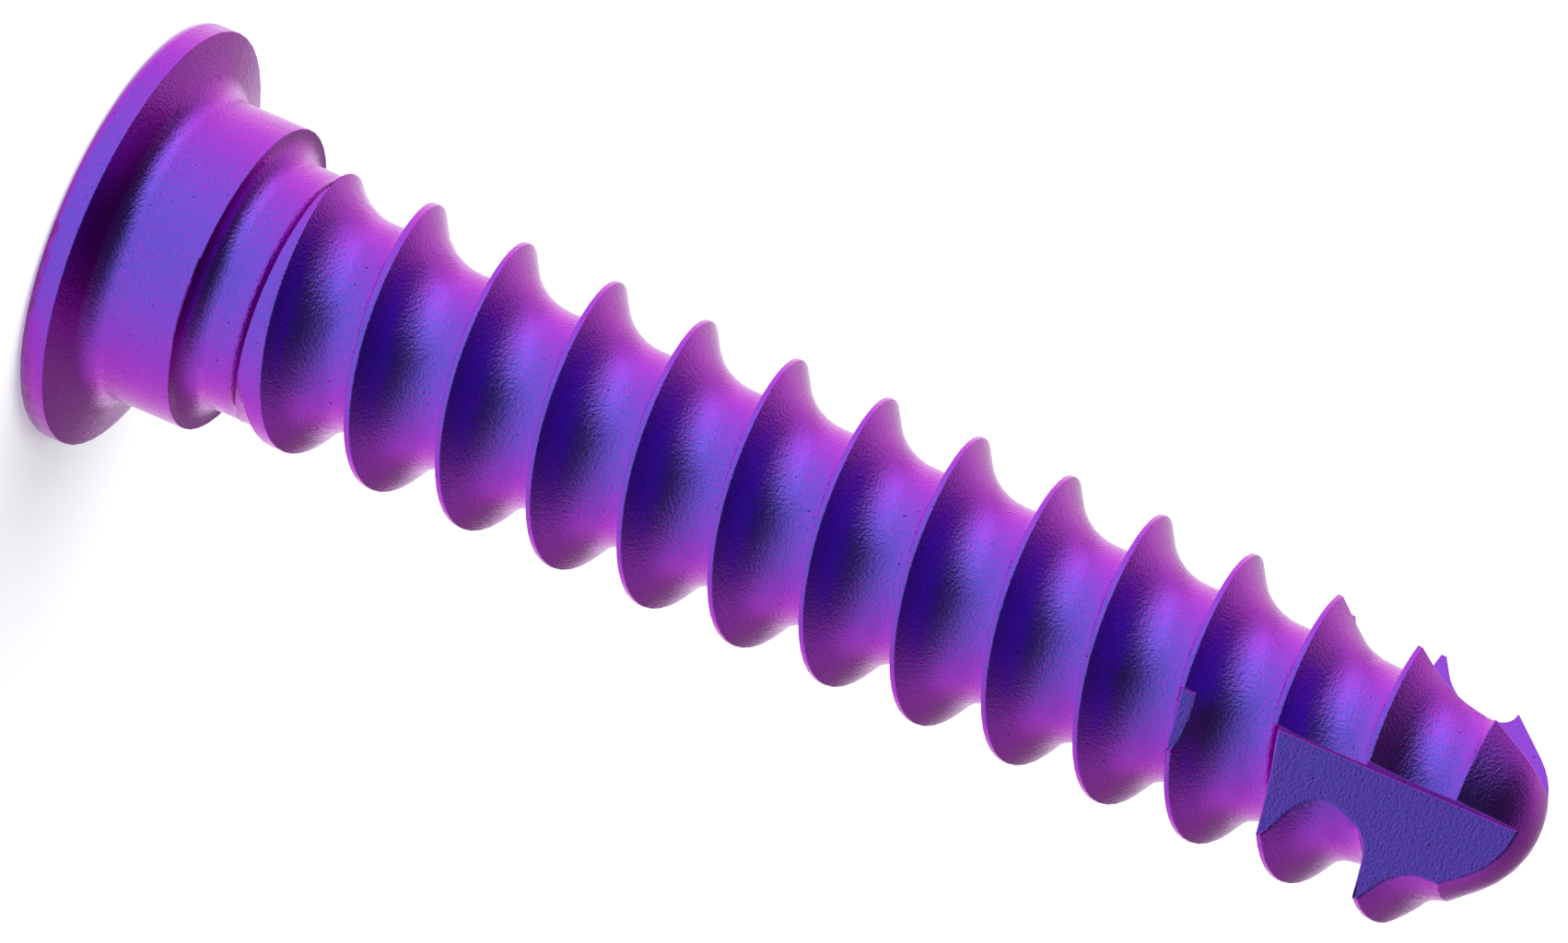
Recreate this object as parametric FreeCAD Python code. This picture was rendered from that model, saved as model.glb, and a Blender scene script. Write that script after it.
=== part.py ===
# Cortical bone screw, 3.5 mm, self-tapping, with a low flanged head.
# It stands on its head. The origin is the centre of the head's top face, and +Z runs to the tip.
# Around the axis, angles are counted from +X towards +Y.
import FreeCAD, Part
import math
import os

Vector = FreeCAD.Vector
UP = Vector(0, 0, 1)
ORIGIN = Vector(0, 0, 0)

# Thread, form HA 3.5 of ISO 5835
MAJOR_DIAMETER = 3.5
CORE_DIAMETER = 2.36
PITCH = 1.25
CREST_LAND = 0.07
LEADING_FLANK_ANGLE = 35.0
TRAILING_FLANK_ANGLE = 3.0
LEADING_ROOT_RADIUS = 0.8
TRAILING_ROOT_RADIUS = 0.2
SMALLEST_ROOT_LAND = 0.02
FIRST_CREST_Z = 2.93

# Lengths along the axis, from the head's top face
OVERALL_LENGTH = 19.40
THREAD_START_Z = 2.49
NECK_END_Z = 1.69

# Head, neck and shank
HEAD_DIAMETER = 5.42
HEAD_EDGE_RADIUS = 0.13
HEAD_RIM_END_Z = 0.36
HEAD_UNDERSIDE_ANGLE = 15.0
HEAD_FILLET_RADIUS = 0.33
NECK_DIAMETER = 3.94
SHANK_DIAMETER = 3.21
SHANK_FILLET_RADIUS = 0.30
THREAD_START_LENGTH = 0.19

# Nose
NOSE_RADIUS = 1.23
NOSE_CHAMFER_ANGLE = 40.0

# Thread run-out under the neck
RUNOUT_FROM_ANGLE = 270.0
RUNOUT_TURNS = 2.0
RUNOUT_RISE = 0.66
RUNOUT_DRIFT = 0.11
RUNOUT_POWER = 3.3
RUNOUT_STEP = 15.0

# Cutting flutes
FLUTE_COUNT = 3
FLUTE_ANGLE = 270.0
FLUTE_TILT = 15.6
FLUTE_START_Z = 14.67
FLUTE_FACE_OFFSET = 0.078
FLUTE_FLOOR_TURN = 4.5
FLUTE_RAKE_TURN = -5.0

# Hexagon socket
SOCKET_ACROSS_FLATS = 2.5
SOCKET_DEPTH = 1.6
SOCKET_POINT_ANGLE = 118.0

# Bar left past the tip while the thread is cut
PARTING_LENGTH = 1.5

# How far a cutter stands proud of what it cuts
CUT_OVER = 0.04


def point(radius, z):
    return Vector(radius, 0, z)


def arc_about(centre, start, end):
    """Arc from start to end round centre, the short way."""
    radius = start.sub(centre).Length
    middle = start.sub(centre).add(end.sub(centre)).normalize().multiply(radius).add(centre)
    return Part.Arc(start, middle, end).toShape()


def head_edges(neck_radius):
    """Half section of the head, from the axis to the neck."""
    radius = HEAD_DIAMETER / 2
    slope = math.radians(HEAD_UNDERSIDE_ANGLE)
    edge_centre = point(radius - HEAD_EDGE_RADIUS, HEAD_EDGE_RADIUS)
    face_end = point(radius - HEAD_EDGE_RADIUS, 0)
    rim_start = point(radius, HEAD_EDGE_RADIUS)
    rim_end = point(radius, HEAD_RIM_END_Z)
    centre_x = neck_radius + HEAD_FILLET_RADIUS
    contact_x = centre_x - HEAD_FILLET_RADIUS * math.sin(slope)
    contact_z = HEAD_RIM_END_Z + (radius - contact_x) * math.tan(slope)
    centre_z = contact_z + HEAD_FILLET_RADIUS * math.cos(slope)
    fillet_start = point(contact_x, contact_z)
    fillet_end = point(neck_radius, centre_z)
    edges = [
        Part.makeLine(ORIGIN, face_end),
        arc_about(edge_centre, face_end, rim_start),
        Part.makeLine(rim_start, rim_end),
        Part.makeLine(rim_end, fillet_start),
        arc_about(point(centre_x, centre_z), fillet_start, fillet_end),
    ]
    return edges, fillet_end


def blank():
    """The turned blank, without thread, flutes and socket."""
    neck_radius = NECK_DIAMETER / 2
    shank_radius = SHANK_DIAMETER / 2
    stock_radius = MAJOR_DIAMETER / 2
    edges, neck_start = head_edges(neck_radius)
    neck_end = point(neck_radius, NECK_END_Z)
    shank_fillet_start = point(shank_radius + SHANK_FILLET_RADIUS, NECK_END_Z)
    shank_fillet_centre = point(shank_radius + SHANK_FILLET_RADIUS, NECK_END_Z + SHANK_FILLET_RADIUS)
    shank_start = point(shank_radius, NECK_END_Z + SHANK_FILLET_RADIUS)
    start_step = stock_radius - shank_radius
    start_radius = (start_step ** 2 + THREAD_START_LENGTH ** 2) / (2 * start_step)
    shank_end = point(shank_radius, THREAD_START_Z - THREAD_START_LENGTH)
    start_centre = point(shank_radius + start_radius, THREAD_START_Z - THREAD_START_LENGTH)
    stock_start = point(stock_radius, THREAD_START_Z)
    stock_end = point(stock_radius, OVERALL_LENGTH + PARTING_LENGTH)
    tip = point(0, OVERALL_LENGTH + PARTING_LENGTH)
    edges += [
        Part.makeLine(neck_start, neck_end),
        Part.makeLine(neck_end, shank_fillet_start),
        arc_about(shank_fillet_centre, shank_fillet_start, shank_start),
        Part.makeLine(shank_start, shank_end),
        arc_about(start_centre, shank_end, stock_start),
        Part.makeLine(stock_start, stock_end),
        Part.makeLine(stock_end, tip),
        Part.makeLine(tip, ORIGIN),
    ]
    half_section = Part.Face(Part.Wire(edges))
    return half_section.revolve(ORIGIN, UP, 360)


def nose_waste():
    """What is turned away round the nose once the thread is cut."""
    outer = MAJOR_DIAMETER
    top_z = OVERALL_LENGTH + 2 * PARTING_LENGTH
    slope = math.radians(NOSE_CHAMFER_ANGLE)
    nose_centre = point(0, OVERALL_LENGTH - NOSE_RADIUS)
    nose_start = nose_centre.add(point(math.cos(slope), math.sin(slope)).multiply(NOSE_RADIUS))
    chamfer_start = point(outer, nose_start.z - (outer - nose_start.x) / math.tan(slope))
    tip = point(0, OVERALL_LENGTH)
    half_section = Part.Wire([
        Part.makeLine(chamfer_start, nose_start),
        arc_about(nose_centre, nose_start, tip),
        Part.makeLine(tip, point(0, top_z)),
        Part.makeLine(point(0, top_z), point(outer, top_z)),
        Part.makeLine(point(outer, top_z), chamfer_start),
    ])
    return Part.Face(half_section).revolve(ORIGIN, UP, 360)


def leading_root_radius():
    """The leading root radius, or as much of it as the pitch leaves room for."""
    depth = (MAJOR_DIAMETER - CORE_DIAMETER) / 2
    lead = math.radians(LEADING_FLANK_ANGLE)
    trail = math.radians(TRAILING_FLANK_ANGLE)
    flanks = depth * (math.tan(lead) + math.tan(trail))
    trailing_root = TRAILING_ROOT_RADIUS * (1 - math.sin(trail)) / math.cos(trail)
    room = PITCH - CREST_LAND - SMALLEST_ROOT_LAND - flanks - trailing_root
    return min(LEADING_ROOT_RADIUS, room * math.cos(lead) / (1 - math.sin(lead)))


def groove_section(crest_z, rise):
    """Section of the thread groove that follows the crest at crest_z, lifted out by rise."""
    outer = MAJOR_DIAMETER / 2 + CUT_OVER
    crest = MAJOR_DIAMETER / 2
    core = CORE_DIAMETER / 2
    lead = math.radians(LEADING_FLANK_ANGLE)
    trail = math.radians(TRAILING_FLANK_ANGLE)
    root_radius = leading_root_radius()
    flank_foot = core + root_radius * (1 - math.sin(lead))
    foot_z = CREST_LAND / 2 + (crest - flank_foot) * math.tan(lead)
    root_start_z = foot_z + root_radius * math.cos(lead)
    back_foot = core + TRAILING_ROOT_RADIUS * (1 - math.sin(trail))
    back_foot_z = PITCH - CREST_LAND / 2 - (crest - back_foot) * math.tan(trail)
    root_end_z = back_foot_z - TRAILING_ROOT_RADIUS * math.cos(trail)
    shift = point(rise, crest_z)

    def place(radius, z):
        return point(radius, z).add(shift)

    lead_top = place(outer, CREST_LAND / 2 - CUT_OVER * math.tan(lead))
    lead_foot = place(flank_foot, foot_z)
    root_start = place(core, root_start_z)
    root_end = place(core, root_end_z)
    trail_foot = place(back_foot, back_foot_z)
    trail_top = place(outer, PITCH - CREST_LAND / 2 + CUT_OVER * math.tan(trail))
    return Part.Wire([
        Part.makeLine(lead_top, lead_foot),
        arc_about(place(core + root_radius, root_start_z), lead_foot, root_start),
        Part.makeLine(root_start, root_end),
        arc_about(place(core + TRAILING_ROOT_RADIUS, root_end_z), root_end, trail_foot),
        Part.makeLine(trail_foot, trail_top),
        Part.makeLine(trail_top, lead_top),
    ])


def crest_height(angle):
    """Height of the crest helix at an angle that keeps counting from turn to turn."""
    return FIRST_CREST_Z + PITCH * angle / 360


def section_at(angle, share):
    """Section of the groove at an angle, with the cutter backed out by a share of the run-out."""
    lift = share ** RUNOUT_POWER
    wire = groove_section(crest_height(angle) - RUNOUT_DRIFT * lift, RUNOUT_RISE * lift)
    wire.rotate(ORIGIN, UP, angle)
    return wire


def full_groove():
    """The groove at its full depth, from the run-out to past the nose."""
    spine_z = crest_height(RUNOUT_FROM_ANGLE) + PITCH / 2
    turns = math.ceil((OVERALL_LENGTH - spine_z) / PITCH)
    helix = Part.makeHelix(PITCH, turns * PITCH, CORE_DIAMETER / 2)
    helix.translate(Vector(0, 0, spine_z))
    helix.rotate(ORIGIN, UP, RUNOUT_FROM_ANGLE)
    start = section_at(RUNOUT_FROM_ANGLE, 0)
    return Part.Wire(helix).makePipeShell([start], True, True)


def runout_groove():
    """The groove where the cutter backs out, up to the plain shank."""
    steps = int(round(RUNOUT_TURNS * 360 / RUNOUT_STEP))
    sections = []
    for step in range(steps + 1):
        sections.append(section_at(RUNOUT_FROM_ANGLE - step * RUNOUT_STEP, step / steps))
    return Part.makeLoft(sections, True, False)


def flute_cutter():
    """Cutter of one flute: a flat floor that slopes down to the tip, and the cutting face."""
    reach = MAJOR_DIAMETER
    floor_turn = math.radians(FLUTE_FLOOR_TURN)
    rake_turn = math.radians(FLUTE_RAKE_TURN)
    corner = ORIGIN
    face_end = Vector(reach * math.cos(rake_turn), reach * math.sin(rake_turn), 0)
    floor_end = Vector(-reach * math.sin(floor_turn), reach * math.cos(floor_turn), 0)
    outline = Part.makePolygon([corner, face_end, face_end.add(floor_end), floor_end, corner])
    run = OVERALL_LENGTH
    tilt = math.radians(FLUTE_TILT)
    along = Vector(-math.sin(tilt), 0, math.cos(tilt)).multiply(run)
    cutter = Part.Face(outline).extrude(along)
    start = Vector(MAJOR_DIAMETER / 2, FLUTE_FACE_OFFSET, FLUTE_START_Z)
    back = Vector(along).multiply(-0.25)
    cutter.translate(start.add(back))
    cutter.rotate(ORIGIN, UP, FLUTE_ANGLE)
    return cutter


def flutes():
    cutters = []
    for index in range(FLUTE_COUNT):
        cutter = flute_cutter()
        cutter.rotate(ORIGIN, UP, index * 360 / FLUTE_COUNT)
        cutters.append(cutter)
    return cutters


def socket():
    """Hexagon socket with the cone that the drill leaves at its foot."""
    corner_radius = SOCKET_ACROSS_FLATS / 2 / math.cos(math.radians(30))
    corners = []
    for index in range(7):
        turn = math.radians(60 * index)
        corners.append(Vector(corner_radius * math.cos(turn), corner_radius * math.sin(turn), 0))
    prism = Part.Face(Part.makePolygon(corners)).extrude(Vector(0, 0, SOCKET_DEPTH))
    drill_radius = SOCKET_ACROSS_FLATS / 2
    cone_height = drill_radius / math.tan(math.radians(SOCKET_POINT_ANGLE / 2))
    cone = Part.makeCone(drill_radius, 0, cone_height, point(0, SOCKET_DEPTH), UP)
    return prism.fuse(cone)


def bone_screw():
    body = blank().cut(full_groove())
    body = body.cut(runout_groove())
    body = body.cut(nose_waste())
    for cutter in flutes():
        body = body.cut(cutter)
    return body.cut(socket())


os.makedirs("parts", exist_ok=True)
screw = bone_screw()
screw.exportStep("parts/bone_screw.step")
print("volume", screw.Volume, "solids", len(screw.Solids), "faces", len(screw.Faces), "valid", screw.isValid())
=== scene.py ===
import math

import bmesh
import bpy
from mathutils import Matrix, Vector


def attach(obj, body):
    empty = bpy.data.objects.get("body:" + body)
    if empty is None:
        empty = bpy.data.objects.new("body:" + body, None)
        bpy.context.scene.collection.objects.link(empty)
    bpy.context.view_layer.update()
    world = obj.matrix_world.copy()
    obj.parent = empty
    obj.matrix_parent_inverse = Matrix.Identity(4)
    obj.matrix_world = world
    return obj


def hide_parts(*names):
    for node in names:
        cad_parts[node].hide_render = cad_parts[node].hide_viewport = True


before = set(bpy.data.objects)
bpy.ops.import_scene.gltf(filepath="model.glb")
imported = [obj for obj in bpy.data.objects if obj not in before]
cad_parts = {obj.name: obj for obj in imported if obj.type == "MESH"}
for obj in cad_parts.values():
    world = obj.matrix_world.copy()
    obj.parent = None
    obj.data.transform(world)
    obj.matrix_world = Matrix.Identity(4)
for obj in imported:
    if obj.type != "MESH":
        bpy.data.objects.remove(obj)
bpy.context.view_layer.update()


# Screw body
# One bar of titanium alloy: turned, whirled with a bone thread, and milled with three flutes.
# Tumbling rounds its edges, from 0.026 mm back at the flutes and from half of that elsewhere,
# and fine blasting and a violet oxide film finish it.
MM = 0.001
EDGE_BREAK = 0.026 * MM
EDGE_ROWS = 2
THREAD_EDGE_SHARE = 0.5
SHARP = math.radians(22)
SAME_PLACE = 0.0005 * MM
SAME_DIRECTION = 0.999
FLUTE_AZIMUTH = math.radians(4.5)
FLUTE_TILT = math.radians(15.6)
FLUTE_START = 14.0 * MM
FLUTE_COUNT = 3
THREAD_START = 2.6 * MM
CREST_RADIUS = 1.735 * MM

# The places of the materials on the piece, in the order in which it gets them.
BODY = 0
CREST = 1
FLUTE = 2
EDGE = 3

FILM_TURN = 1.5
PIT_SIZE = 0.04
PIT_EDGE = 0.83
PIT_FLOOR = 0.86
PIT_COLOUR = "#2a1640"
PIT_ROUGHNESS = 0.5


def colour(code):
    """An sRGB hex colour as linear values."""
    channels = [int(code[i:i + 2], 16) / 255 for i in (1, 3, 5)]
    linear = [c / 12.92 if c <= 0.04045 else ((c + 0.055) / 1.055) ** 2.4 for c in channels]
    return (*linear, 1.0)


def add(tree, kind, settings=None, links=None):
    """Adds one node, with its settings by name and its links from other nodes' outputs."""
    node = tree.nodes.new(kind)
    for name, value in (settings or {}).items():
        if isinstance(name, int) or name in node.inputs:
            node.inputs[name].default_value = value
        else:
            setattr(node, name, value)
    for name, output in (links or {}).items():
        tree.links.new(output, node.inputs[name])
    return node


def anodised_titanium(name, grain_size, grain_depth, speckle, head_on_colour, slanting_colour, roughness):
    """Titanium alloy, blasted and then anodised. The grain's size and depth are in millimetres.

    Blasting leaves fine dimples, which make a satin grain. They are drawn about 0.03 mm across,
    three pixels of the photograph, so that they just show.
    """
    material = bpy.data.materials.new(name)
    material.use_nodes = True
    tree = material.node_tree
    tree.nodes.clear()
    place = add(tree, "ShaderNodeTexCoord")
    grain = add(tree, "ShaderNodeTexNoise",
                {"Scale": 1 / (grain_size * MM), "Detail": 2.0, "Roughness": 0.5},
                {"Vector": place.outputs["Object"]})
    bump = add(tree, "ShaderNodeBump", {"Strength": 1.0, "Distance": grain_depth * MM},
               {"Height": grain.outputs["Fac"]})

    # The gloss of the thin oxide film: it sends back blue head on, and magenta at a slant.
    # Its thickness varies a little with the grain, which speckles the metal.
    slant = add(tree, "ShaderNodeLayerWeight", {"Blend": 0.5}, {"Normal": bump.outputs["Normal"]})
    uneven = add(tree, "ShaderNodeMath", {"operation": "MULTIPLY_ADD", 1: speckle, 2: -speckle / 2},
                 {0: grain.outputs["Fac"]})
    share = add(tree, "ShaderNodeMath", {"operation": "MULTIPLY_ADD", 1: FILM_TURN, "use_clamp": True},
                {0: slant.outputs["Facing"], 2: uneven.outputs["Value"]})
    head_on = add(tree, "ShaderNodeBsdfPrincipled",
                  {"Base Color": colour(head_on_colour), "Metallic": 1.0, "Roughness": roughness},
                  {"Normal": bump.outputs["Normal"]})
    slanting = add(tree, "ShaderNodeBsdfPrincipled",
                   {"Base Color": colour(slanting_colour), "Metallic": 1.0, "Roughness": roughness},
                   {"Normal": bump.outputs["Normal"]})
    clean = add(tree, "ShaderNodeMixShader", None,
                {0: share.outputs["Value"], 1: head_on.outputs["BSDF"], 2: slanting.outputs["BSDF"]})

    # A few small dark pits, scattered by the peaks of a second noise.
    peaks = add(tree, "ShaderNodeTexNoise", {"Scale": 1 / (PIT_SIZE * MM), "Detail": 0.0},
                {"Vector": place.outputs["Object"]})
    pits = add(tree, "ShaderNodeMapRange", {"From Min": PIT_EDGE, "From Max": PIT_FLOOR},
               {"Value": peaks.outputs["Fac"]})
    dark = add(tree, "ShaderNodeBsdfPrincipled",
               {"Base Color": colour(PIT_COLOUR), "Metallic": 1.0, "Roughness": PIT_ROUGHNESS})
    film = add(tree, "ShaderNodeMixShader", None,
               {0: pits.outputs["Result"], 1: clean.outputs["Shader"], 2: dark.outputs["BSDF"]})
    add(tree, "ShaderNodeOutputMaterial", None, {"Surface": film.outputs["Shader"]})
    return material


# A merged copy of the turned solid, which remembers the solid's own normal at each corner.
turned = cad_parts["bone_screw"].data
form = bmesh.new()
form.from_mesh(turned)
surface = form.loops.layers.float_vector.new("surface")
corners = (loop for face in form.faces for loop in face.loops)
for loop, normal in zip(corners, turned.corner_normals):
    loop[surface] = normal.vector
bmesh.ops.remove_doubles(form, verts=form.verts, dist=SAME_PLACE)

# The flat floors of the flutes and the crests of the thread are told apart from the rest.
flute_floor = Vector((math.sin(FLUTE_AZIMUTH) * math.cos(FLUTE_TILT),
                      -math.cos(FLUTE_AZIMUTH) * math.cos(FLUTE_TILT), math.sin(FLUTE_TILT)))
floors = [Matrix.Rotation(math.tau * i / FLUTE_COUNT, 3, "Z") @ flute_floor for i in range(FLUTE_COUNT)]
for face in form.faces:
    face.smooth = True
    centre = face.calc_center_median()
    along_a_floor = max(face.normal.dot(floor) for floor in floors) > SAME_DIRECTION
    if centre.z > FLUTE_START and along_a_floor:
        face.material_index = FLUTE
    if centre.z > THREAD_START and centre.xy.length > CREST_RADIUS:
        face.material_index = CREST

# An edge is sharp where the normals of its two sides differ along its whole length.
weight = form.edges.layers.float.new("bevel_weight_edge")
for edge in form.edges:
    one, other = edge.link_loops
    start = one[surface].angle(other.link_loop_next[surface], 0)
    end = one.link_loop_next[surface].angle(other[surface], 0)
    if min(start, end) > SHARP:
        at_flute = any(loop.face.material_index == FLUTE for loop in (one, other))
        edge[weight] = 1.0 if at_flute else THREAD_EDGE_SHARE
plain = bpy.data.meshes.new("screw_plain")
form.to_mesh(plain)
form.free()
for _ in (BODY, CREST, FLUTE, EDGE):
    plain.materials.append(None)

# The strips of the broken edges are not held apart. Where edges meet in a narrow corner, the strips
# cross, and a few stand up to 0.026 mm out of the solid.
blunted = bpy.data.objects.new("screw_plain", plain)
bpy.context.scene.collection.objects.link(blunted)
bevel = blunted.modifiers.new("broken_edges", "BEVEL")
bevel.limit_method = "WEIGHT"
bevel.width = EDGE_BREAK
bevel.segments = EDGE_ROWS
bevel.loop_slide = False
bevel.use_clamp_overlap = False
bevel.material = EDGE
body = bpy.data.meshes.new_from_object(blunted.evaluated_get(bpy.context.evaluated_depsgraph_get()))
bpy.data.objects.remove(blunted)

# The flats and the flanks keep their own normals, and the broken edges turn from one to the other.
# The middle rows of the broken edges touch no flat or flank, so they take their neighbours' normals.
SPREAD_STEPS = 3
normals = [Vector() for _ in body.vertices]
at_corners = body.attributes["surface"].data
for face in body.polygons:
    if face.material_index != EDGE:
        for corner in face.loop_indices:
            at_corner = at_corners[corner].vector
            curved = at_corner.angle(face.normal, math.pi) < SHARP
            normals[body.loops[corner].vertex_index] += at_corner if curved else face.normal
known = [normal.length > 0 for normal in normals]
for _ in range(SPREAD_STEPS):
    reached = list(known)
    for edge in body.edges:
        for vertex, near in (edge.vertices, reversed(edge.vertices)):
            if known[near] and not known[vertex]:
                normals[vertex] += normals[near].normalized()
                reached[vertex] = True
    known = reached
for face in body.polygons:
    if face.material_index == EDGE:
        face.material_index = BODY
body.normals_split_custom_set_from_vertices([normal.normalized() for normal in normals])
body.attributes.remove(body.attributes["surface"])
body.name = "screw_body"
screw = bpy.data.objects.new("screw_body", body)
bpy.context.scene.collection.objects.link(screw)

# The crests are paler, where handling wears the film. The flutes were milled, and speckle most.
body.materials.clear()
body.materials.append(anodised_titanium(
    "blasted_anodised_titanium", grain_size=0.036, grain_depth=0.009, speckle=0.9,
    head_on_colour="#5c4cbe", slanting_colour="#b81cc0", roughness=0.19))
body.materials.append(anodised_titanium(
    "worn_anodised_crest", grain_size=0.03, grain_depth=0.016, speckle=1.8,
    head_on_colour="#9488ec", slanting_colour="#cc6cda", roughness=0.20))
body.materials.append(anodised_titanium(
    "milled_anodised_flute", grain_size=0.03, grain_depth=0.012, speckle=2.0,
    head_on_colour="#5646b0", slanting_colour="#b42ab8", roughness=0.24))
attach(screw, "root")
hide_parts("bone_screw")


# Floor
# A plain white table that the screw stands on, with the screw's soft shadow on it.
# It glows a little for the eye and for reflections alone, so that it looks white and the
# light on the screw stays as it is.
FLOOR_SIZE = 2.0
FLOOR_GLOW = 0.3
bpy.ops.mesh.primitive_plane_add(size=FLOOR_SIZE, location=(0, 0, 0))
floor = bpy.context.object
floor.name = "floor"
white_table = bpy.data.materials.new("white_table")
white_table.use_nodes = True
tree = white_table.node_tree
tree.nodes.clear()
ray = add(tree, "ShaderNodeLightPath")
seen = add(tree, "ShaderNodeMath", {"operation": "ADD"},
           {0: ray.outputs["Is Camera Ray"], 1: ray.outputs["Is Glossy Ray"]})
white = add(tree, "ShaderNodeMath", {"operation": "MULTIPLY", 1: FLOOR_GLOW}, {0: seen.outputs["Value"]})
glow = add(tree, "ShaderNodeEmission", {"Color": colour("#ffffff")}, {"Strength": white.outputs["Value"]})
matt = add(tree, "ShaderNodeBsdfDiffuse", {"Color": colour("#f4f4f6")})
both = add(tree, "ShaderNodeAddShader", None, {0: matt.outputs["BSDF"], 1: glow.outputs["Emission"]})
add(tree, "ShaderNodeOutputMaterial", None, {"Surface": both.outputs["Shader"]})
floor.data.materials.append(white_table)


# Camera
# The photograph looks at the screw from 17.5 degrees above its flange, turned so that the tip
# points to the right and 23.2 degrees down. The camera stands half a metre away.
VIEW_LIFT = math.radians(17.52)
VIEW_ROLL = math.radians(23.22)
VIEW_DISTANCE = 0.5
FRAME_WIDTH = 18.905 * MM
SENSOR_WIDTH = 36.0
AIM_ALONG = -0.750 * MM
AIM_ACROSS = 0.423 * MM
HALF_HEIGHT = 9.7 * MM
middle = Vector((0, 0, HALF_HEIGHT))
to_camera = Vector((0, -math.cos(VIEW_LIFT), math.sin(VIEW_LIFT)))
along = Vector((0, math.sin(VIEW_LIFT), math.cos(VIEW_LIFT)))
across = Vector((-1, 0, 0))
right = along * math.cos(VIEW_ROLL) + across * math.sin(VIEW_ROLL)
up = across * math.cos(VIEW_ROLL) - along * math.sin(VIEW_ROLL)
camera_data = bpy.data.cameras.new("camera")
camera_data.sensor_width = SENSOR_WIDTH
camera_data.lens = SENSOR_WIDTH * VIEW_DISTANCE / FRAME_WIDTH
camera = bpy.data.objects.new("camera", camera_data)
bpy.context.scene.collection.objects.link(camera)
turn = Matrix((right, up, to_camera)).transposed()
aim = middle + along * AIM_ALONG + across * AIM_ACROSS
camera.matrix_world = Matrix.Translation(aim + to_camera * VIEW_DISTANCE) @ turn.to_4x4()
bpy.context.scene.camera = camera


# Studio light
# A white studio all round the screw, brighter towards the side that is uppermost in the picture,
# and darker behind it and overhead. The metal mirrors the dark overhead as bands on the thread.
# One soft panel lights the floor, and the metal doesn't mirror it.
PANEL_TOWARDS = Vector((-0.46, -0.12, 0.88))
PANEL_DISTANCE = 0.148
PANEL_SIZE = 0.12
PANEL_POWER = 0.2
light = bpy.data.lights.new("key", "AREA")
light.shape = "SQUARE"
light.size = PANEL_SIZE
light.energy = PANEL_POWER
key = bpy.data.objects.new("key", light)
bpy.context.scene.collection.objects.link(key)
key.location = middle + PANEL_TOWARDS.normalized() * PANEL_DISTANCE
key.rotation_mode = "QUATERNION"
key.rotation_quaternion = (-PANEL_TOWARDS).to_track_quat("-Z", "Y")
key.visible_glossy = False

# Each soft patch: its azimuth from the front towards -X and its elevation in degrees, the cosine
# from its middle at which it starts, and the light that it adds or takes at its middle.
BASE_LIGHT = 0.92
PATCHES = [
    (-162, 14, 0.72, -0.6),
    (58, 2, 0.48, 1.05),
    (20, 74, 0.11, -0.84),
]
world = bpy.data.worlds.new("studio")
bpy.context.scene.world = world
world.use_nodes = True
tree = world.node_tree
tree.nodes.clear()
direction = add(tree, "ShaderNodeTexCoord")
level = add(tree, "ShaderNodeValue")
level.outputs["Value"].default_value = BASE_LIGHT
for azimuth, elevation, start, gain in PATCHES:
    aside = math.radians(azimuth)
    lift = math.radians(elevation)
    towards = Vector((-math.sin(aside) * math.cos(lift), -math.cos(aside) * math.cos(lift), math.sin(lift)))
    near = add(tree, "ShaderNodeVectorMath", {"operation": "DOT_PRODUCT", 1: towards},
               {0: direction.outputs["Generated"]})
    share = add(tree, "ShaderNodeMapRange",
                {"interpolation_type": "SMOOTHSTEP", "From Min": start, "From Max": 1.0,
                 "To Min": 0.0, "To Max": gain},
                {"Value": near.outputs["Value"]})
    level = add(tree, "ShaderNodeMath", {"operation": "ADD"},
                {0: level.outputs["Value"], 1: share.outputs["Result"]})
studio = add(tree, "ShaderNodeBackground", {"Color": colour("#ffffff")}, {"Strength": level.outputs["Value"]})
backdrop = add(tree, "ShaderNodeBackground", {"Color": colour("#ffffff"), "Strength": 1.0})
ray = add(tree, "ShaderNodeLightPath")
mix = add(tree, "ShaderNodeMixShader", None,
          {0: ray.outputs["Is Camera Ray"], 1: studio.outputs["Background"],
           2: backdrop.outputs["Background"]})
add(tree, "ShaderNodeOutputWorld", None, {"Surface": mix.outputs["Shader"]})
bpy.context.scene.view_settings.view_transform = "Standard"
